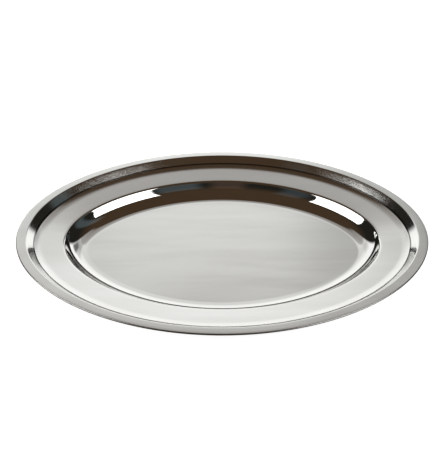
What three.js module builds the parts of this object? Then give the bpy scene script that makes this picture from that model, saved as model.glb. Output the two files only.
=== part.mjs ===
// Oval serving platter pressed from one sheet of stainless steel.
//
// Millimetres, +Z up. The origin is the centre of the underside of the flat base, X runs along
// the platter and Y across it. The whole platter is one sheet: a flat base, a well wall, a wide
// rim that rises gently outwards, a hollow apron, a steep step, a level flange, and the sheet's
// own edge turned under as a hem. The rings of the section are parallel curves of the outer oval,
// except that the flange is narrower along the platter's sides than at its ends.

import * as THREE from 'three';

// ---- driving dimensions -------------------------------------------------------------------

const LENGTH = 350;
const WIDTH = 252.4;
const DIAGONAL_INSET = 0.009;

const SHEET = 0.6;

// Widths run in from the outer oval and rises run down from the flange, on the sheet's middle.
const FLANGE_WIDTH = 8.0;
const SIDE_NARROWING = 0.8;
const FLANGE_RISE = 0.05;
const STEP_WIDTH = 6.4;
const STEP_HEIGHT = 6.41;
const APRON_WIDTH = 3.5;
const APRON_RISE = 1.5;
const RIM_WIDTH = 20.5;
const RIM_RISE = 2.5;
const WELL_DEPTH = 12.0;
const WELL_WALL_ANGLE = 60;

const CREST_RADIUS = 1.3;
const STEP_FOOT_RADIUS = 1.5;
const APRON_RADIUS = 22;
const WELL_LIP_RADIUS = 3;
const WELL_FLOOR_RADIUS = 19.5;

const HEM_THICKNESS = 1.6;
const HEM_RETURN = 2.2;

// How finely the solid is faceted.
const SEGMENTS_ROUND = 80;
const DEGREES_PER_FACET = 18;
const HEM_DEGREES_PER_FACET = 45;

// ---- the outer oval -----------------------------------------------------------------------

// An ellipse drawn in a little on its diagonals, like an oval made of four arcs.
class PlatterOval extends THREE.Curve {
	constructor(halfLength, halfWidth, inset) {
		super();
		this.halfLength = halfLength;
		this.halfWidth = halfWidth;
		this.inset = inset;
	}

	getPoint(u, target = new THREE.Vector2()) {
		const angle = 2 * Math.PI * u;
		const scale = 1 - this.inset * Math.sin(2 * angle) ** 2;
		return target.set(
			this.halfLength * scale * Math.cos(angle),
			this.halfWidth * scale * Math.sin(angle),
		);
	}

	// The unit vector that points into the oval, square to its outline.
	getInward(u) {
		const angle = 2 * Math.PI * u;
		const scale = 1 - this.inset * Math.sin(2 * angle) ** 2;
		const scaleRate = -2 * this.inset * Math.sin(4 * angle);
		const alongX = this.halfLength * (scaleRate * Math.cos(angle) - scale * Math.sin(angle));
		const alongY = this.halfWidth * (scaleRate * Math.sin(angle) + scale * Math.cos(angle));
		return new THREE.Vector2(-alongY, alongX).normalize();
	}
}

// ---- the section of the sheet -------------------------------------------------------------

// The section lies in a plane of its own: x is the distance in from the outer oval and y is the
// height above the table. It starts at the tip of the hem, under the flange, and runs round the
// edge, in over the flange and down to the base.
function sectionCorners() {
	const middleOfBase = SHEET / 2;
	const lipHeight = middleOfBase + WELL_DEPTH;
	const rimHeight = lipHeight + RIM_RISE;
	const footHeight = rimHeight + APRON_RISE;
	const crestHeight = footHeight + STEP_HEIGHT;
	const edgeHeight = crestHeight + FLANGE_RISE;

	const edgeIn = SHEET / 2;
	const crestIn = FLANGE_WIDTH;
	const footIn = crestIn + STEP_WIDTH;
	const rimIn = footIn + APRON_WIDTH;
	const lipIn = rimIn + RIM_WIDTH;
	const wallWidth = WELL_DEPTH / Math.tan(THREE.MathUtils.degToRad(WELL_WALL_ANGLE));
	const floorIn = lipIn + wallWidth;
	const floorReach = WELL_FLOOR_RADIUS * Math.tan(THREE.MathUtils.degToRad(WELL_WALL_ANGLE / 2));

	const hemRadius = (HEM_THICKNESS - SHEET) / 2;
	const hemHeight = edgeHeight - 2 * hemRadius;
	const flangeSlope = FLANGE_RISE / (crestIn - edgeIn);
	const tipHeight = hemHeight - flangeSlope * HEM_RETURN;

	return [
		corner(edgeIn + HEM_RETURN, tipHeight, 0),
		corner(edgeIn, hemHeight, hemRadius, HEM_DEGREES_PER_FACET),
		corner(edgeIn, edgeHeight, hemRadius, HEM_DEGREES_PER_FACET),
		corner(crestIn, crestHeight, CREST_RADIUS),
		corner(footIn, footHeight, STEP_FOOT_RADIUS),
		corner(rimIn, rimHeight, APRON_RADIUS),
		corner(lipIn, lipHeight, WELL_LIP_RADIUS),
		corner(floorIn, middleOfBase, WELL_FLOOR_RADIUS),
		corner(floorIn + floorReach, middleOfBase, 0),
	];
}

function corner(x, y, radius, degreesPerFacet = DEGREES_PER_FACET) {
	return { at: new THREE.Vector2(x, y), radius, degreesPerFacet };
}

// Rounds the corners of the section. Where two bends need more than the length between them,
// both shrink in proportion. Each station holds a point of the sheet's middle and its normal,
// which points to the side of the sheet that faces up or outwards.
function bendSheet(corners) {
	const legs = [];
	for (let i = 0; i < corners.length - 1; i++) {
		legs.push(corners[i + 1].at.clone().sub(corners[i].at));
	}
	const turns = corners.map((_, i) => (i > 0 && i < legs.length ? turnBetween(legs[i - 1], legs[i]) : 0));
	const wanted = corners.map((c, i) => c.radius * Math.tan(Math.abs(turns[i]) / 2));
	const fits = legs.map((leg, i) => Math.min(1, leg.length() / Math.max(wanted[i] + wanted[i + 1], SHEET)));

	const stations = [station(corners[0].at, legs[0].angle())];
	for (let i = 1; i < legs.length; i++) {
		const shrink = Math.min(fits[i - 1], fits[i]);
		const reach = wanted[i] * shrink;
		const start = corners[i].at.clone().addScaledVector(legs[i - 1].clone().normalize(), -reach);
		const facets = Math.ceil(THREE.MathUtils.radToDeg(Math.abs(turns[i])) / corners[i].degreesPerFacet);
		addBend(stations, start, legs[i - 1].angle(), turns[i], corners[i].radius * shrink, facets);
	}
	const last = corners[corners.length - 1].at;
	if (last.distanceTo(stations[stations.length - 1].at) > SHEET) {
		stations.push(station(last, legs[legs.length - 1].angle()));
	}
	return stations;
}

// The angle from one leg to the next, positive to the left.
function turnBetween(before, after) {
	return Math.atan2(before.cross(after), before.dot(after));
}

function addBend(stations, start, heading, turn, radius, facets) {
	const side = Math.sign(turn);
	const centre = start.clone().addScaledVector(normalTo(heading), side * radius);
	for (let step = 0; step <= facets; step++) {
		const turned = heading + turn * step / facets;
		const at = centre.clone().addScaledVector(normalTo(turned), -side * radius);
		const previous = stations[stations.length - 1];
		if (at.distanceTo(previous.at) > SHEET / 100) {
			stations.push(station(at, turned));
		}
	}
}

function normalTo(heading) {
	return new THREE.Vector2(-Math.sin(heading), Math.cos(heading));
}

function station(at, heading) {
	return { at: at.clone(), normal: normalTo(heading) };
}

// ---- the swept sheet ----------------------------------------------------------------------

// How far everything inside the flange moves out where the flange is narrow, along the sides.
// The hem keeps its place, and the flange takes up the difference evenly.
function sideShift(u, inset) {
	const hemEnd = SHEET / 2 + HEM_RETURN;
	const share = THREE.MathUtils.clamp((inset - hemEnd) / (FLANGE_WIDTH - hemEnd), 0, 1);
	return SIDE_NARROWING * share * Math.sin(2 * Math.PI * u) ** 2;
}

// Carries one side of the sheet round the oval, as rows of points from the hem to the base.
function sweepSide(oval, stations, offset) {
	return stations.map(({ at, normal }) => {
		const edge = at.clone().addScaledVector(normal, offset);
		const row = [];
		for (let k = 0; k < SEGMENTS_ROUND; k++) {
			const u = k / SEGMENTS_ROUND;
			const inset = edge.x - sideShift(u, edge.x);
			const point = oval.getPoint(u).addScaledVector(oval.getInward(u), inset);
			row.push(new THREE.Vector3(point.x, point.y, edge.y));
		}
		return row;
	});
}

function buildSheet() {
	const oval = new PlatterOval(LENGTH / 2, WIDTH / 2, DIAGONAL_INSET);
	const stations = bendSheet(sectionCorners());
	const faceRows = sweepSide(oval, stations, SHEET / 2);
	const backRows = sweepSide(oval, stations, -SHEET / 2);
	const rows = [...faceRows, ...backRows.reverse()];

	const points = rows.flat();
	const faceCentre = points.push(new THREE.Vector3(0, 0, SHEET)) - 1;
	const backCentre = points.push(new THREE.Vector3(0, 0, 0)) - 1;

	const triangles = [];
	for (let j = 0; j < rows.length; j++) {
		const row = j * SEGMENTS_ROUND;
		const nextRow = ((j + 1) % rows.length) * SEGMENTS_ROUND;
		const atBase = j === stations.length - 1;
		for (let k = 0; k < SEGMENTS_ROUND; k++) {
			const next = (k + 1) % SEGMENTS_ROUND;
			if (atBase) {
				triangles.push(row + k, row + next, faceCentre);
				triangles.push(nextRow + next, nextRow + k, backCentre);
			} else {
				triangles.push(row + k, row + next, nextRow + next);
				triangles.push(row + k, nextRow + next, nextRow + k);
			}
		}
	}

	const geometry = new THREE.BufferGeometry().setFromPoints(points);
	geometry.setIndex(triangles);
	geometry.computeVertexNormals();
	return geometry;
}

// ---- the object ---------------------------------------------------------------------------

const steel = new THREE.MeshStandardMaterial({ color: 0xc9c8c4, roughness: 0.22, metalness: 1 });

const platter = new THREE.Mesh(buildSheet(), steel);
platter.name = 'platter';

const group = new THREE.Group();
group.add(platter);

export default group;
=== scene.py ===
import math

import bpy
from bpy.props import FloatProperty, FloatVectorProperty, IntProperty, PointerProperty
from mathutils import Matrix, Vector


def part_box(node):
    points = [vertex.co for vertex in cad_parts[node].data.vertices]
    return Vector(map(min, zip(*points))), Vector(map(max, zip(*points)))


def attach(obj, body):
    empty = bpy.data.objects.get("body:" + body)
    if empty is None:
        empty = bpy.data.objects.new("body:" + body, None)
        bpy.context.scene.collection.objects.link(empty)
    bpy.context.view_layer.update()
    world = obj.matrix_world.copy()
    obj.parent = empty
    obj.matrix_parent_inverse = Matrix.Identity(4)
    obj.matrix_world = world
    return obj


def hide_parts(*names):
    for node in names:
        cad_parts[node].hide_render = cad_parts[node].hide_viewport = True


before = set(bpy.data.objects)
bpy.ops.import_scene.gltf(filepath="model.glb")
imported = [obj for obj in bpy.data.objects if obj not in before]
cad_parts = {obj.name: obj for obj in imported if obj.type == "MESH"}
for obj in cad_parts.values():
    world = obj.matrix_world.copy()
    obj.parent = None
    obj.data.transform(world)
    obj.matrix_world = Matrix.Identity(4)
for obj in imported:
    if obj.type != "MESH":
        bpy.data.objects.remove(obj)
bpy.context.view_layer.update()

bl_info = {
    "name": "Oval Serving Platter",
    "version": (1, 0, 0),
    "blender": (4, 5, 0),
    "location": "3D View > Sidebar > Platter",
    "description": "Presses an oval steel platter from one sheet and lays it out in a studio",
    "category": "Add Mesh",
}

PLATTER_NODE = "platter"
ROOT_BODY = "root"

CAD_LOW, CAD_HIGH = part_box(PLATTER_NODE)
CAD_SIZE = CAD_HIGH - CAD_LOW
MM = 0.001


# ---- settings -----------------------------------------------------------------------------

def length_property(name, description, default):
    return FloatProperty(name=name, description=description, default=default, min=0.0, unit="LENGTH")


def shade_property(name, description, default):
    return FloatVectorProperty(name=name, description=description, default=default, size=3,
                               min=0.0, max=1.0, subtype="COLOR")


def share_property(name, description, default):
    return FloatProperty(name=name, description=description, default=default, min=0.0, max=1.0,
                         subtype="FACTOR")


class PlatterShape(bpy.types.PropertyGroup):
    """Sizes of the pressed sheet."""

    length: length_property("Length", "Outer length of the oval", CAD_SIZE.x)
    width: length_property("Width", "Outer width of the oval", CAD_SIZE.y)
    height: length_property("Height", "Height of the flange above the table", CAD_SIZE.z)
    diagonal_inset: share_property("Diagonal Inset", "How far the oval is drawn in on its diagonals",
                                   0.009)
    sheet: length_property("Sheet", "Thickness of the steel", 0.6 * MM)
    flange_width: length_property("Flange Width", "Edge to the crest of the step", 8.0 * MM)
    side_narrowing: length_property("Side Narrowing", "How much narrower the flange is at the sides",
                                    0.8 * MM)
    flange_rise: length_property("Flange Rise", "How much higher the edge is than the crest", 0.05 * MM)
    step_width: length_property("Step Width", "Width of the steep step, seen from above", 6.4 * MM)
    apron_width: length_property("Apron Width", "Foot of the step to the rim", 3.5 * MM)
    apron_rise: length_property("Apron Rise", "How much higher the foot is than the rim's outside",
                                1.5 * MM)
    rim_width: length_property("Rim Width", "Rim's outside to the lip of the well", 20.5 * MM)
    rim_rise: length_property("Rim Rise", "How much higher the rim's outside is than the lip", 2.5 * MM)
    well_depth: length_property("Well Depth", "Lip of the well down to the base", 12.0 * MM)
    wall_angle: FloatProperty(name="Wall Angle", description="Slope of the well's wall",
                              default=math.radians(60), subtype="ANGLE")
    crest_radius: length_property("Crest Radius", "Bend at the top of the step", 1.3 * MM)
    foot_radius: length_property("Foot Radius", "Bend at the foot of the step", 1.5 * MM)
    apron_radius: length_property("Apron Radius", "Bend from the apron to the rim", 22 * MM)
    lip_radius: length_property("Lip Radius", "Bend at the lip of the well", 3.0 * MM)
    floor_radius: length_property("Floor Radius", "Bend from the well's wall to the base", 19.5 * MM)
    hem_thickness: length_property("Hem Thickness", "Thickness of the turned-under edge", 1.6 * MM)
    hem_return: length_property("Hem Return", "How far the hem runs back under the flange", 2.2 * MM)
    crown: length_property("Crown", "How far the middle of the base stands proud", 0.25 * MM)
    segments: IntProperty(name="Segments", description="Faces round the oval", default=360, min=24)
    bend_facets: IntProperty(name="Bend Facets", description="Faces across each bend",
                             default=12, min=2)
    base_rings: IntProperty(name="Base Rings", description="Rings across the flat base",
                            default=14, min=2)


class SteelFinish(bpy.types.PropertyGroup):
    """Colours and polish of the steel."""

    bright: shade_property("Bright Steel", "Colour of clean steel", (0.655, 0.66, 0.642))
    dull: shade_property("Dull Steel", "Colour in the grain and smears", (0.615, 0.615, 0.595))
    mirror_roughness: share_property("Mirror Roughness", "Roughness of the polished walls", 0.035)
    satin_roughness: share_property("Satin Roughness", "Roughness of the base, rim and flange", 0.15)
    step_roughness: share_property("Step Roughness", "Roughness of the brushed step", 0.10)
    edge_roughness: share_property("Edge Roughness", "Roughness of the turned-under edge", 0.35)
    # Painted shade: the dark colour painted in the crease at the step's foot and on the outer edge.
    painted_shade: shade_property("Painted Shade", "Dark colour painted as shade in the crease and on the outer edge", (0.10, 0.095, 0.09))
    wave_height: length_property("Wave Height", "Height of the waves in the pressed sheet", 0.1 * MM)
    grain_depth: FloatProperty(name="Grain Depth", description="Strength of the polishing lines",
                               default=0.12, min=0.0)


class StudioLook(bpy.types.PropertyGroup):
    """Floor, lights and camera."""

    floor_size: length_property("Floor Size", "Side of the square floor", 12.0)
    floor_colour: shade_property("Floor Colour", "Colour of the floor", (0.9, 0.9, 0.9))
    softbox_power: FloatProperty(name="Softbox Power", description="Radiance of the softboxes",
                                 default=3.2, min=0.0)
    screen_power: FloatProperty(name="Screen Power", description="Radiance at the screen's foot",
                                default=1.45, min=0.0)
    camera_distance: length_property("Camera Distance", "Camera to the platter's middle", 0.6125)
    camera_elevation: FloatProperty(name="Camera Elevation", description="Height of the view",
                                    default=math.radians(38), subtype="ANGLE")
    focal_length: FloatProperty(name="Focal Length", description="Focal length in millimetres",
                                default=56.6, min=1.0)


# ---- node helpers -------------------------------------------------------------------------

class Graph:
    """Adds nodes to a tree and joins them up."""

    def __init__(self, tree):
        self.tree = tree

    def add(self, kind, settings=None, inputs=None):
        """A new node with its settings, and with its inputs linked or set by name or number."""
        node = self.tree.nodes.new(kind)
        for name, value in (settings or {}).items():
            setattr(node, name, value)
        for key, value in (inputs or {}).items():
            self.feed(node.inputs[key], value)
        return node

    def feed(self, socket, value):
        if isinstance(value, Number):
            value = value.socket
        if isinstance(value, bpy.types.NodeSocket):
            self.tree.links.new(value, socket)
        else:
            socket.default_value = value

    def number(self, socket):
        return Number(self, socket)

    def math(self, operation, *values):
        node = self.add("ShaderNodeMath", {"operation": operation}, dict(enumerate(values)))
        return Number(self, node.outputs[0])

    def vector(self, x, y, z):
        node = self.add("ShaderNodeCombineXYZ", inputs={0: x, 1: y, 2: z})
        return node.outputs[0]

    def parts(self, vector):
        node = self.add("ShaderNodeSeparateXYZ", inputs={0: vector})
        return [Number(self, output) for output in node.outputs]

    def arrange(self, across=220, down=160, rows=12):
        """Lays the nodes out in columns, so that the tree can be read in the editor."""
        for place, node in enumerate(self.tree.nodes):
            node.location = (across * (place // rows), -down * (place % rows))


class Number:
    """A number in a node tree, written as in ordinary arithmetic."""

    def __init__(self, graph, socket):
        self.graph = graph
        self.socket = socket

    def __add__(self, other):
        return self.graph.math("ADD", self, other)

    def __sub__(self, other):
        return self.graph.math("SUBTRACT", self, other)

    def __rsub__(self, other):
        return self.graph.math("SUBTRACT", other, self)

    def __mul__(self, other):
        return self.graph.math("MULTIPLY", self, other)

    def __truediv__(self, other):
        return self.graph.math("DIVIDE", self, other)

    def __neg__(self):
        return self.graph.math("MULTIPLY", self, -1.0)

    def __abs__(self):
        return self.graph.math("ABSOLUTE", self)

    def sin(self):
        return self.graph.math("SINE", self)

    def cos(self):
        return self.graph.math("COSINE", self)

    def tan(self):
        return self.graph.math("TANGENT", self)

    def root(self):
        return self.graph.math("SQRT", self)

    def floor(self):
        return self.graph.math("FLOOR", self)


def new_tree(name, kind, inputs, outputs):
    """A node tree with its group sockets made, and its input and output nodes."""
    tree = bpy.data.node_groups.new(name, kind)
    for socket_name, socket_type, default in inputs:
        socket = tree.interface.new_socket(socket_name, in_out="INPUT", socket_type=socket_type)
        if default is not None:
            socket.default_value = default
    for socket_name, socket_type in outputs:
        tree.interface.new_socket(socket_name, in_out="OUTPUT", socket_type=socket_type)
    graph = Graph(tree)
    return graph, graph.add("NodeGroupInput"), graph.add("NodeGroupOutput")


# ---- the pressed sheet --------------------------------------------------------------------

LENGTH_INPUTS = ("length", "width", "height", "sheet", "flange_width", "side_narrowing",
                 "flange_rise", "step_width", "apron_width", "apron_rise", "rim_width", "rim_rise",
                 "well_depth", "crest_radius", "foot_radius", "apron_radius", "lip_radius",
                 "floor_radius", "hem_thickness", "hem_return", "crown")
PLAIN_INPUTS = ("diagonal_inset", "wall_angle")
COUNT_INPUTS = ("segments", "bend_facets", "base_rings")
FLAT_MARGIN = 5 * MM
LONGEST_FACE = 2.5 * MM
WELD_DISTANCE = 0.001 * MM
UV_NAME = "UVMap"
INSET_NAME = "inset"


def section_line(graph, size):
    """The middle line of the sheet, from the hem's tip in to the base, with its bends rounded.
    X is the distance in from the outer oval and Z is the height."""
    middle = size["sheet"] / 2
    lip_height = middle + size["well_depth"]
    rim_height = lip_height + size["rim_rise"]
    foot_height = rim_height + size["apron_rise"]
    edge_height = size["height"] - middle
    crest_height = edge_height - size["flange_rise"]

    foot_in = size["flange_width"] + size["step_width"]
    rim_in = foot_in + size["apron_width"]
    lip_in = rim_in + size["rim_width"]
    floor_in = lip_in + size["well_depth"] / size["wall_angle"].tan()
    floor_reach = size["floor_radius"] * (size["wall_angle"] / 2).tan()
    flat_in = floor_in + floor_reach + FLAT_MARGIN

    hem_radius = (size["hem_thickness"] - size["sheet"]) / 2
    hem_height = edge_height - hem_radius * 2
    slope = size["flange_rise"] / (size["flange_width"] - middle)
    tip_height = hem_height - slope * size["hem_return"]

    corners = [
        (middle + size["hem_return"], tip_height, 0.0),
        (middle, hem_height, hem_radius),
        (middle, edge_height, hem_radius),
        (size["flange_width"], crest_height, size["crest_radius"]),
        (foot_in, foot_height, size["foot_radius"]),
        (rim_in, rim_height, size["apron_radius"]),
        (lip_in, lip_height, size["lip_radius"]),
        (floor_in, middle, size["floor_radius"]),
        (flat_in, middle, 0.0),
    ]

    index = graph.add("GeometryNodeInputIndex").outputs[0]
    place = graph.add("GeometryNodeIndexSwitch", {"data_type": "VECTOR"}, {"Index": index})
    radius = graph.add("GeometryNodeIndexSwitch", {"data_type": "FLOAT"}, {"Index": index})
    for switch in (place, radius):
        while len(switch.index_switch_items) < len(corners):
            switch.index_switch_items.new()
    for item, (inward, height, bend) in enumerate(corners):
        graph.feed(place.inputs[item + 1], graph.vector(inward, 0.0, height))
        graph.feed(radius.inputs[item + 1], bend)

    points = graph.add("GeometryNodeMeshLine", inputs={"Count": len(corners)})
    placed = graph.add("GeometryNodeSetPosition", inputs={"Geometry": points.outputs[0],
                                                          "Position": place.outputs[0]})
    line = graph.add("GeometryNodeMeshToCurve", inputs={"Mesh": placed.outputs[0]})
    bent = graph.add("GeometryNodeFilletCurve", {"mode": "POLY"}, {
        "Curve": line.outputs[0], "Count": size["bend_facets"], "Radius": radius.outputs[0],
        "Limit Radius": True})
    return cut_long_legs(graph, bent.outputs[0])


def cut_long_legs(graph, curve):
    """Cuts the straight legs of the section into short faces."""
    index = graph.number(graph.add("GeometryNodeInputIndex").outputs[0])
    here = graph.add("GeometryNodeInputPosition").outputs[0]
    there = graph.add("GeometryNodeFieldAtIndex", {"data_type": "FLOAT_VECTOR", "domain": "POINT"},
                      {"Index": index + 1, "Value": here}).outputs[0]
    gap = graph.add("ShaderNodeVectorMath", {"operation": "DISTANCE"}, {0: here, 1: there})
    cuts = (graph.number(gap.outputs["Value"]) / LONGEST_FACE).floor()
    cut = graph.add("GeometryNodeSubdivideCurve", inputs={"Curve": curve, "Cuts": cuts})
    return cut.outputs[0]


def sample(graph, curve, value, index, data_type="FLOAT"):
    node = graph.add("GeometryNodeSampleIndex", {"data_type": data_type, "domain": "POINT", "clamp": True},
                     {"Geometry": curve, "Value": value, "Index": index})
    return node.outputs[0]


def outline(graph, size, turn):
    """A point of the outer oval, and the unit vector that points into the oval from it."""
    half_length = size["length"] / 2
    half_width = size["width"] / 2
    ripple = (turn * 2).sin()
    drawn = 1.0 - size["diagonal_inset"] * ripple * ripple
    drawn_rate = size["diagonal_inset"] * (turn * 4).sin() * -2.0
    along_x = half_length * (drawn_rate * turn.cos() - drawn * turn.sin())
    along_y = half_width * (drawn_rate * turn.sin() + drawn * turn.cos())
    speed = (along_x * along_x + along_y * along_y).root()
    return (half_length * drawn * turn.cos(), half_width * drawn * turn.sin(),
            -along_y / speed, along_x / speed)


def side_shift(graph, size, turn, inset):
    """How far everything inside the flange moves out where the flange is narrow, along the sides.
    The hem keeps its place, and the flange takes up the difference evenly."""
    hem_end = size["sheet"] / 2 + size["hem_return"]
    share = graph.add("ShaderNodeMapRange", inputs={"Value": inset, "From Min": hem_end,
                                                    "From Max": size["flange_width"]})
    return size["side_narrowing"] * share.outputs[0] * turn.sin() * turn.sin()


def sheet_tree():
    """Geometry nodes that sweep the bent section round the oval, as one closed skin."""
    inputs = [(name, "NodeSocketFloat", None) for name in LENGTH_INPUTS + PLAIN_INPUTS]
    inputs += [(name, "NodeSocketInt", None) for name in COUNT_INPUTS]
    inputs += [("steel", "NodeSocketMaterial", None)]
    graph, given, result = new_tree("Pressed Sheet", "GeometryNodeTree", inputs,
                                    [("Geometry", "NodeSocketGeometry")])
    size = {name: graph.number(given.outputs[name])
            for name in LENGTH_INPUTS + PLAIN_INPUTS + COUNT_INPUTS}
    section = section_line(graph, size)

    counted = graph.add("GeometryNodeAttributeDomainSize", {"component": "CURVE"}, {0: section})
    stations = graph.number(counted.outputs["Point Count"])
    rows_a_side = stations + size["base_rings"]
    columns = size["segments"] + 1
    grid = graph.add("GeometryNodeMeshGrid", inputs={"Vertices X": rows_a_side * 2, "Vertices Y": columns})

    index = graph.number(graph.add("GeometryNodeInputIndex").outputs[0])
    row = ((index + 0.5) / columns).floor()
    column = index - row * columns
    turn = column / size["segments"] * math.tau
    on_back = graph.math("GREATER_THAN", row, rows_a_side - 0.5)
    side = 1.0 - on_back * 2
    inwards = abs(row - rows_a_side + 0.5) - 0.5
    ring = graph.math("MAXIMUM", inwards - stations + 1, 0.0)
    shrink = 1.0 - ring / size["base_rings"]

    position = graph.add("GeometryNodeInputPosition").outputs[0]
    tangent = graph.add("GeometryNodeInputTangent").outputs[0]
    run = graph.add("GeometryNodeSplineParameter").outputs["Length"]
    middle_x, _, middle_z = graph.parts(sample(graph, section, position, inwards, "FLOAT_VECTOR"))
    tangent_x, _, tangent_z = graph.parts(sample(graph, section, tangent, inwards, "FLOAT_VECTOR"))
    across = sample(graph, section, run, inwards)

    offset = size["sheet"] / 2 * side
    inset = middle_x - tangent_z * offset
    height = middle_z + tangent_x * offset
    fall = 1.0 - shrink * shrink
    crowned = height + size["crown"] * fall * fall * graph.math("GREATER_THAN", ring, 0.5)

    edge_x, edge_y, inward_x, inward_y = outline(graph, size, turn)
    inward = inset - side_shift(graph, size, turn, inset)
    place = graph.vector((edge_x + inward_x * inward) * shrink, (edge_y + inward_y * inward) * shrink,
                         crowned)

    swept = graph.add("GeometryNodeSetPosition", inputs={"Geometry": grid.outputs[0], "Position": place})
    round_length = (size["length"] + size["width"]) * (math.pi / 2)
    uv = graph.vector(round_length * column / size["segments"], across, 0.0)
    mapped = graph.add("GeometryNodeStoreNamedAttribute", {"data_type": "FLOAT2", "domain": "CORNER"},
                       {"Geometry": swept.outputs[0], "Name": UV_NAME, "Value": uv})
    inset_stored = graph.add("GeometryNodeStoreNamedAttribute", {"data_type": "FLOAT", "domain": "POINT"},
                             {"Geometry": mapped.outputs[0], "Name": INSET_NAME,
                              "Value": inset + (1.0 - shrink) * size["width"] / 2})
    welded = graph.add("GeometryNodeMergeByDistance", inputs={"Geometry": inset_stored.outputs[0],
                                                              "Distance": WELD_DISTANCE})
    smooth = graph.add("GeometryNodeSetShadeSmooth", inputs={"Geometry": welded.outputs[0]})
    solid = graph.add("GeometryNodeRealizeInstances", inputs={"Geometry": smooth.outputs[0]})
    finished = graph.add("GeometryNodeSetMaterial", inputs={"Geometry": solid.outputs[0],
                                                            "Material": given.outputs["steel"]})
    graph.feed(result.inputs["Geometry"], finished.outputs[0])
    graph.arrange()
    return graph.tree


def plain_mesh_from_nodes(name, tree, values):
    """Runs a geometry node tree once and keeps its result as an ordinary mesh object."""
    piece = bpy.data.objects.new(name, bpy.data.meshes.new(name))
    bpy.context.scene.collection.objects.link(piece)
    modifier = piece.modifiers.new(name, "NODES")
    modifier.node_group = tree
    for socket in tree.interface.items_tree:
        if socket.item_type == "SOCKET" and socket.in_out == "INPUT":
            modifier[socket.identifier] = values[socket.name]
    evaluated = piece.evaluated_get(bpy.context.evaluated_depsgraph_get())
    mesh = bpy.data.meshes.new_from_object(evaluated)
    piece.modifiers.remove(modifier)
    piece.data = mesh
    mesh.name = name
    return piece


# ---- steel --------------------------------------------------------------------------------

# The brush strokes on the step.
STROKE_ANGLE = math.radians(40)
STROKE_LENGTH = 24 * MM
STROKE_WIDTH = 0.3 * MM

# How softly each zone of the finish ends, and how far the step and wall zones run past their ends.
WALL_BLUR = 1.5 * MM
STEP_BLUR = 0.5 * MM
BASE_BLUR = 2 * MM
ZONE_OVERLAP = 1 * MM

# Painted shade: a dark colour painted just outside the foot of the step, and on the outer edge.
CREASE_WIDTH = 1.0 * MM
CREASE_BLUR = 0.25 * MM
CREASE_PAINTED_SHADE = 0.9
# Painted shade on the outer edge of the hem, where it darkens the highlight of the bend.
EDGE_WIDTH = 0.3 * MM
EDGE_BLUR = 0.2 * MM
EDGE_PAINTED_SHADE = 0.8

GRAIN_HEIGHT = 0.02 * MM


def grain_group():
    """Fine polishing lines that run along the first direction of a vector in metres."""
    graph, given, result = new_tree(
        "Polishing Lines", "ShaderNodeTree",
        [("Vector", "NodeSocketVector", None), ("Line Length", "NodeSocketFloat", 0.02),
         ("Line Width", "NodeSocketFloat", 0.0003)],
        [("Height", "NodeSocketFloat")])
    along, across, up = graph.parts(given.outputs["Vector"])
    length = graph.number(given.outputs["Line Length"])
    width = graph.number(given.outputs["Line Width"])
    stretched = graph.vector(along / length, across / width, up / width)
    fine = graph.add("ShaderNodeTexNoise", inputs={"Vector": stretched, "Scale": 1.0, "Detail": 3.0,
                                                   "Roughness": 0.6})
    graph.feed(result.inputs["Height"], fine.outputs[0])
    graph.arrange()
    return graph.tree


def smear_group():
    """Broad, soft smears, as wiping leaves, and the slight waves of a pressed sheet."""
    graph, given, result = new_tree(
        "Wiped Smears", "ShaderNodeTree",
        [("Vector", "NodeSocketVector", None), ("Smear Length", "NodeSocketFloat", 0.16),
         ("Smear Width", "NodeSocketFloat", 0.022)],
        [("Smear", "NodeSocketFloat"), ("Wave", "NodeSocketFloat")])
    along, across, up = graph.parts(given.outputs["Vector"])
    length = graph.number(given.outputs["Smear Length"])
    width = graph.number(given.outputs["Smear Width"])
    stretched = graph.vector(along / length, across / width, up / width)
    cloud = graph.add("ShaderNodeTexNoise", inputs={"Vector": stretched, "Scale": 1.0,
                                                    "Detail": 4.0, "Roughness": 0.55})
    level = graph.add("ShaderNodeMapRange", {"interpolation_type": "SMOOTHSTEP"},
                      {"Value": cloud.outputs[0], "From Min": 0.35, "From Max": 0.7})
    graph.feed(result.inputs["Smear"], level.outputs[0])
    wave = graph.add("ShaderNodeTexNoise", inputs={"Vector": stretched, "Scale": 0.5, "Detail": 1.0})
    graph.feed(result.inputs["Wave"], wave.outputs[0])
    graph.arrange()
    return graph.tree


def band(graph, value, start, end, blur):
    """1 where a value lies between start and end, with soft ends."""
    rise = graph.add("ShaderNodeMapRange", {"interpolation_type": "SMOOTHSTEP"},
                     {"Value": value, "From Min": start - blur, "From Max": start + blur})
    fall = graph.add("ShaderNodeMapRange", {"interpolation_type": "SMOOTHSTEP"},
                     {"Value": value, "From Min": end - blur, "From Max": end + blur,
                      "To Min": 1.0, "To Max": 0.0})
    return graph.number(rise.outputs[0]) * fall.outputs[0]


def mix_number(graph, factor, low, high):
    node = graph.add("ShaderNodeMix", {"data_type": "FLOAT"}, {0: factor, 2: low, 3: high})
    return graph.number(node.outputs[0])


def mix_colour(graph, factor, low, high):
    node = graph.add("ShaderNodeMix", {"data_type": "RGBA"}, {0: factor, 6: low, 7: high})
    return node.outputs[2]


def slanted(graph, vector, angle):
    """Turns a vector in its first two directions."""
    along, across, up = graph.parts(vector)
    turn_cos = math.cos(angle)
    turn_sin = math.sin(angle)
    return graph.vector(along * turn_cos + across * turn_sin, across * turn_cos - along * turn_sin, up)


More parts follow.
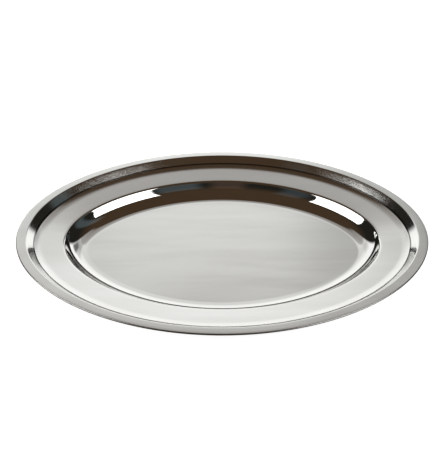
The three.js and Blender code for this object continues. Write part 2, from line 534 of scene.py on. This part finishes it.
def steel_material(shape, finish):
    """Stainless steel: mirror on the well's wall, brushed on the step and satin elsewhere."""
    steel = bpy.data.materials.new("Stainless Steel")
    steel.use_nodes = True
    steel.node_tree.nodes.clear()
    graph = Graph(steel.node_tree)

    foot_in = shape.flange_width + shape.step_width
    lip_in = foot_in + shape.apron_width + shape.rim_width
    floor_in = lip_in + shape.well_depth / math.tan(shape.wall_angle)
    wall_end = floor_in + shape.floor_radius * math.tan(shape.wall_angle / 2)

    inset = graph.add("ShaderNodeAttribute", {"attribute_name": INSET_NAME}).outputs["Fac"]
    on_wall = band(graph, inset, lip_in, wall_end + ZONE_OVERLAP, WALL_BLUR)
    on_step = band(graph, inset, shape.flange_width, foot_in + ZONE_OVERLAP, STEP_BLUR)
    on_base = band(graph, inset, wall_end, 1.0, BASE_BLUR)
    in_crease = band(graph, inset, foot_in - CREASE_WIDTH, foot_in, CREASE_BLUR)
    on_edge = band(graph, inset, -1.0, EDGE_WIDTH, EDGE_BLUR)

    uv = graph.add("ShaderNodeUVMap", {"uv_map": UV_NAME}).outputs[0]
    place = graph.add("ShaderNodeTexCoord").outputs["Object"]
    lines = grain_group()
    along_rim = graph.add("ShaderNodeGroup", {"node_tree": lines}, {"Vector": uv})
    along_base = graph.add("ShaderNodeGroup", {"node_tree": lines}, {"Vector": place})
    across_step = graph.add("ShaderNodeGroup", {"node_tree": lines}, {
        "Vector": slanted(graph, uv, STROKE_ANGLE), "Line Length": STROKE_LENGTH,
        "Line Width": STROKE_WIDTH})
    grain = mix_number(graph, on_base, along_rim.outputs[0], along_base.outputs[0])
    grain = mix_number(graph, on_step, grain, across_step.outputs[0])
    smears = graph.add("ShaderNodeGroup", {"node_tree": smear_group()}, {"Vector": place}).outputs

    stroke = graph.add("ShaderNodeMapRange", inputs={
        "Value": across_step.outputs[0], "From Min": 0.4, "From Max": 0.65,
        "To Min": finish.step_roughness * 0.5, "To Max": finish.step_roughness * 1.6}).outputs[0]
    satin = mix_number(graph, smears["Smear"], finish.satin_roughness, finish.satin_roughness * 1.2)
    roughness = mix_number(graph, on_step, satin, stroke)
    roughness = mix_number(graph, on_wall, roughness, finish.mirror_roughness)
    roughness = mix_number(graph, on_edge, roughness, finish.edge_roughness)

    # Painted shade: darkens the colour in the crease and on the outer edge.
    painted_shade = graph.math("MAXIMUM", in_crease * CREASE_PAINTED_SHADE, on_edge * EDGE_PAINTED_SHADE)
    clean = mix_colour(graph, smears["Smear"], (*finish.bright, 1), (*finish.dull, 1))
    colour = mix_colour(graph, painted_shade, clean, (*finish.painted_shade, 1))

    wave = graph.add("ShaderNodeBump", inputs={"Strength": 1.0, "Distance": finish.wave_height,
                                               "Height": graph.number(smears["Wave"])})
    bump = graph.add("ShaderNodeBump", inputs={"Strength": finish.grain_depth, "Distance": GRAIN_HEIGHT,
                                               "Height": grain, "Normal": wave.outputs[0]})
    shader = graph.add("ShaderNodeBsdfPrincipled", inputs={
        "Metallic": 1.0, "Base Color": colour, "Roughness": roughness, "Normal": bump.outputs[0]})
    graph.add("ShaderNodeOutputMaterial", inputs={"Surface": shader.outputs[0]})
    graph.arrange()
    return steel


class PLATTER_OT_press_sheet(bpy.types.Operator):
    """Press the platter from one sheet and give it its steel finish"""

    bl_idname = "platter.press_sheet"
    bl_label = "Press Sheet"

    def execute(self, context):
        shape = context.scene.platter_shape
        values = {name: getattr(shape, name) for name in LENGTH_INPUTS + PLAIN_INPUTS + COUNT_INPUTS}
        values["steel"] = steel_material(shape, context.scene.steel_finish)
        platter = plain_mesh_from_nodes("pressed_platter", sheet_tree(), values)
        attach(platter, ROOT_BODY)
        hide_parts(PLATTER_NODE)
        return {"FINISHED"}


# ---- the studio ---------------------------------------------------------------------------

def direction(azimuth, elevation):
    """A unit vector. Azimuth is in degrees from the front round to the right, seen from above."""
    turn = math.radians(azimuth)
    rise = math.radians(elevation)
    return Vector((math.cos(rise) * math.sin(turn), -math.cos(rise) * math.cos(turn), math.sin(rise)))


SOFTBOXES = {
    "right_softbox": {"at": (61, 26.7), "facing": (39.5, 25), "roll": -4.5, "size": (1.95, 2.45)},
    "left_softbox": {"at": (-78.3, 28.5), "facing": (-56, 7), "roll": 7.4, "size": (2.10, 2.35)},
}
SOFTBOX_DISTANCE = 2.6

# The screen's glow at each elevation in degrees, as a share of the glow at its foot.
SCREEN_HEIGHTS = ((0, 1.0), (25, 0.96), (31, 0.84), (34, 0.74), (36, 0.66), (39, 0.67), (42, 0.70),
                  (43.6, 0.43), (46, 0.33), (55, 0.20), (58, 0.0))

# Azimuths of the screen run from straight behind the platter, and those of the room from straight
# before it, both positive to the right. Each gap or patch has its sides, its heights and its depth
# or colour.
SCREEN_SIDES = (-39, 38)
SCREEN_BLUR = 4
PATCH_BLUR = 4
SCREEN_GAPS = (((20, 36), (19, 36), 0.75), ((9, 36), (22, 44), 0.38), ((-34, -13), (28, 46), 0.15))
ROOM_PATCHES = (((-11, 5), (16, 50), (0.05, 0.03, 0.022)), ((12, 34), (14, 48), (0.05, 0.065, 0.075)),
                ((-46, -32), (14, 55), (0.03, 0.042, 0.05)), ((92, 108), (10, 55), (0.06, 0.08, 0.09)))
CEILING_COLOUR = (0.076, 0.047, 0.027, 1)
BACK_WALL_COLOUR = (0.020, 0.019, 0.016, 1)
ROOM_COLOUR = (1.0, 1.0, 1.0, 1)
SHADED_FLOOR_COLOUR = (0.12, 0.1, 0.09, 1)
FLOOR_GLOW = 0.8


def add_softbox(name, at, facing, roll, size, power):
    light = bpy.data.lights.new(name, "AREA")
    light.shape = "RECTANGLE"
    light.size, light.size_y = size
    light.energy = power * size[0] * size[1] * math.pi
    lamp = bpy.data.objects.new(name, light)
    back = direction(*facing)
    across = back.cross(Vector((0, 0, -1))).normalized()
    up = back.cross(across)
    axes = Matrix((across, up, back)).transposed() @ Matrix.Rotation(math.radians(roll), 3, "Z")
    lamp.matrix_world = Matrix.Translation(direction(*at) * SOFTBOX_DISTANCE) @ axes.to_4x4()
    lamp.visible_camera = False
    bpy.context.scene.collection.objects.link(lamp)


def add_floor(look):
    half = look.floor_size / 2
    mesh = bpy.data.meshes.new("floor")
    mesh.from_pydata([(-half, -half, 0), (half, -half, 0), (half, half, 0), (-half, half, 0)], [],
                     [(0, 1, 2, 3)])
    paper = bpy.data.materials.new("Pale Floor")
    paper.use_nodes = True
    paper.node_tree.nodes.clear()
    graph = Graph(paper.node_tree)
    ray = graph.add("ShaderNodeLightPath").outputs
    colour = graph.add("ShaderNodeMix", {"data_type": "RGBA"}, {0: ray["Is Glossy Ray"]})
    colour.inputs[6].default_value = (*look.floor_colour, 1)
    colour.inputs[7].default_value = SHADED_FLOOR_COLOUR
    glow = graph.number(ray["Is Camera Ray"]) * FLOOR_GLOW
    shader = graph.add("ShaderNodeBsdfPrincipled", inputs={
        "Base Color": colour.outputs[2], "Roughness": 0.9, "Specular IOR Level": 0.1,
        "Emission Color": (1, 1, 1, 1), "Emission Strength": glow})
    graph.add("ShaderNodeOutputMaterial", inputs={"Surface": shader.outputs[0]})
    graph.arrange()
    mesh.materials.append(paper)
    floor = bpy.data.objects.new("floor", mesh)
    bpy.context.scene.collection.objects.link(floor)


def screen_light(graph, behind, elevation, power):
    """The glow of a curved paper screen behind the platter, which is brightest at its foot."""
    ramp = graph.add("ShaderNodeValToRGB", inputs={0: elevation / 90.0})
    stops = ramp.color_ramp.elements
    while len(stops) < len(SCREEN_HEIGHTS):
        stops.new(1.0)
    for stop, (height, level) in zip(stops, SCREEN_HEIGHTS):
        stop.position = height / 90.0
        stop.color = (level, level, level, 1)
    light = graph.number(ramp.outputs[0]) * power * band(graph, behind, *SCREEN_SIDES, SCREEN_BLUR)
    for sides, heights, depth in SCREEN_GAPS:
        gap = band(graph, behind, *sides, PATCH_BLUR) * band(graph, elevation, *heights, PATCH_BLUR)
        light = light * (1.0 - gap * depth)
    return light


def add_light(graph, share, below, extra):
    node = graph.add("ShaderNodeMix", {"data_type": "RGBA", "blend_type": "ADD"},
                     {0: share, 6: below, 7: extra})
    return node.outputs[2]


def add_room(power):
    """A dark room with a lit screen for the steel to reflect. The camera sees it as plain pale."""
    room = bpy.data.worlds.new("Room")
    room.use_nodes = True
    room.node_tree.nodes.clear()
    graph = Graph(room.node_tree)
    x, y, z = graph.parts(graph.add("ShaderNodeTexCoord").outputs["Generated"])
    behind = graph.math("ARCTAN2", x, y) * math.degrees(1)
    before = graph.math("ARCTAN2", x, -y) * math.degrees(1)
    elevation = graph.math("ARCSINE", z) * math.degrees(1)
    overhead = band(graph, elevation, 45, 200, 15)
    walls = graph.add("ShaderNodeMix", {"data_type": "RGBA"}, {0: overhead})
    walls.inputs[6].default_value = BACK_WALL_COLOUR
    walls.inputs[7].default_value = CEILING_COLOUR
    glow = walls.outputs[2]
    for sides, heights, tint in ROOM_PATCHES:
        patch = band(graph, before, *sides, PATCH_BLUR) * band(graph, elevation, *heights, PATCH_BLUR)
        glow = add_light(graph, patch, glow, (*tint, 1))
    glow = add_light(graph, 1.0, glow, screen_light(graph, behind, elevation, power))
    seen = graph.add("ShaderNodeLightPath").outputs["Is Camera Ray"]
    colour = graph.add("ShaderNodeMix", {"data_type": "RGBA"}, {0: seen, 6: glow})
    colour.inputs[7].default_value = ROOM_COLOUR
    background = graph.add("ShaderNodeBackground", inputs={"Color": colour.outputs[2]})
    graph.add("ShaderNodeOutputWorld", inputs={"Surface": background.outputs[0]})
    graph.arrange()
    bpy.context.scene.world = room


# The camera looks at the middle of the lip's plane. Its shifts are shares of the frame's long side.
AIM = Vector((0, 0, 12.6 * MM))
SHIFT_UP = 0.029399
SHIFT_RIGHT = 0.00078
SENSOR_WIDTH = 36


def add_camera(look):
    camera = bpy.data.cameras.new("camera")
    camera.lens = look.focal_length
    camera.sensor_width = SENSOR_WIDTH
    camera.shift_x = SHIFT_RIGHT
    camera.shift_y = SHIFT_UP
    camera.clip_start = 0.01
    holder = bpy.data.objects.new("camera", camera)
    away = direction(0, math.degrees(look.camera_elevation))
    holder.location = AIM + away * look.camera_distance
    holder.rotation_euler = away.to_track_quat("Z", "Y").to_euler()
    bpy.context.scene.collection.objects.link(holder)
    bpy.context.scene.camera = holder


class PLATTER_OT_set_stage(bpy.types.Operator):
    """Set up the floor, the lights, the dark room and the camera"""

    bl_idname = "platter.set_stage"
    bl_label = "Set Stage"

    def execute(self, context):
        look = context.scene.studio_look
        add_floor(look)
        for name, place in SOFTBOXES.items():
            add_softbox(name, power=look.softbox_power, **place)
        add_room(look.screen_power)
        add_camera(look)
        context.scene.view_settings.view_transform = "Standard"
        return {"FINISHED"}


# ---- the add-on ---------------------------------------------------------------------------

class PLATTER_PT_sidebar(bpy.types.Panel):
    """Lists the steps that make the platter and its studio"""

    bl_idname = "PLATTER_PT_sidebar"
    bl_label = "Oval Serving Platter"
    bl_space_type = "VIEW_3D"
    bl_region_type = "UI"
    bl_category = "Platter"

    def draw(self, context):
        for settings, operator in (("platter_shape", "platter.press_sheet"),
                                   ("steel_finish", None), ("studio_look", "platter.set_stage")):
            group = getattr(context.scene, settings)
            box = self.layout.box()
            for name in group.bl_rna.properties.keys():
                if name not in ("name", "rna_type"):
                    box.prop(group, name)
            if operator:
                box.operator(operator)


CLASSES = (PlatterShape, SteelFinish, StudioLook, PLATTER_OT_press_sheet, PLATTER_OT_set_stage,
           PLATTER_PT_sidebar)


def register():
    for cls in CLASSES:
        bpy.utils.register_class(cls)
    bpy.types.Scene.platter_shape = PointerProperty(type=PlatterShape)
    bpy.types.Scene.steel_finish = PointerProperty(type=SteelFinish)
    bpy.types.Scene.studio_look = PointerProperty(type=StudioLook)


def unregister():
    del bpy.types.Scene.studio_look
    del bpy.types.Scene.steel_finish
    del bpy.types.Scene.platter_shape
    for cls in reversed(CLASSES):
        bpy.utils.unregister_class(cls)


def main():
    register()
    bpy.ops.platter.press_sheet()
    bpy.ops.platter.set_stage()


if __name__ == "__main__":
    main()
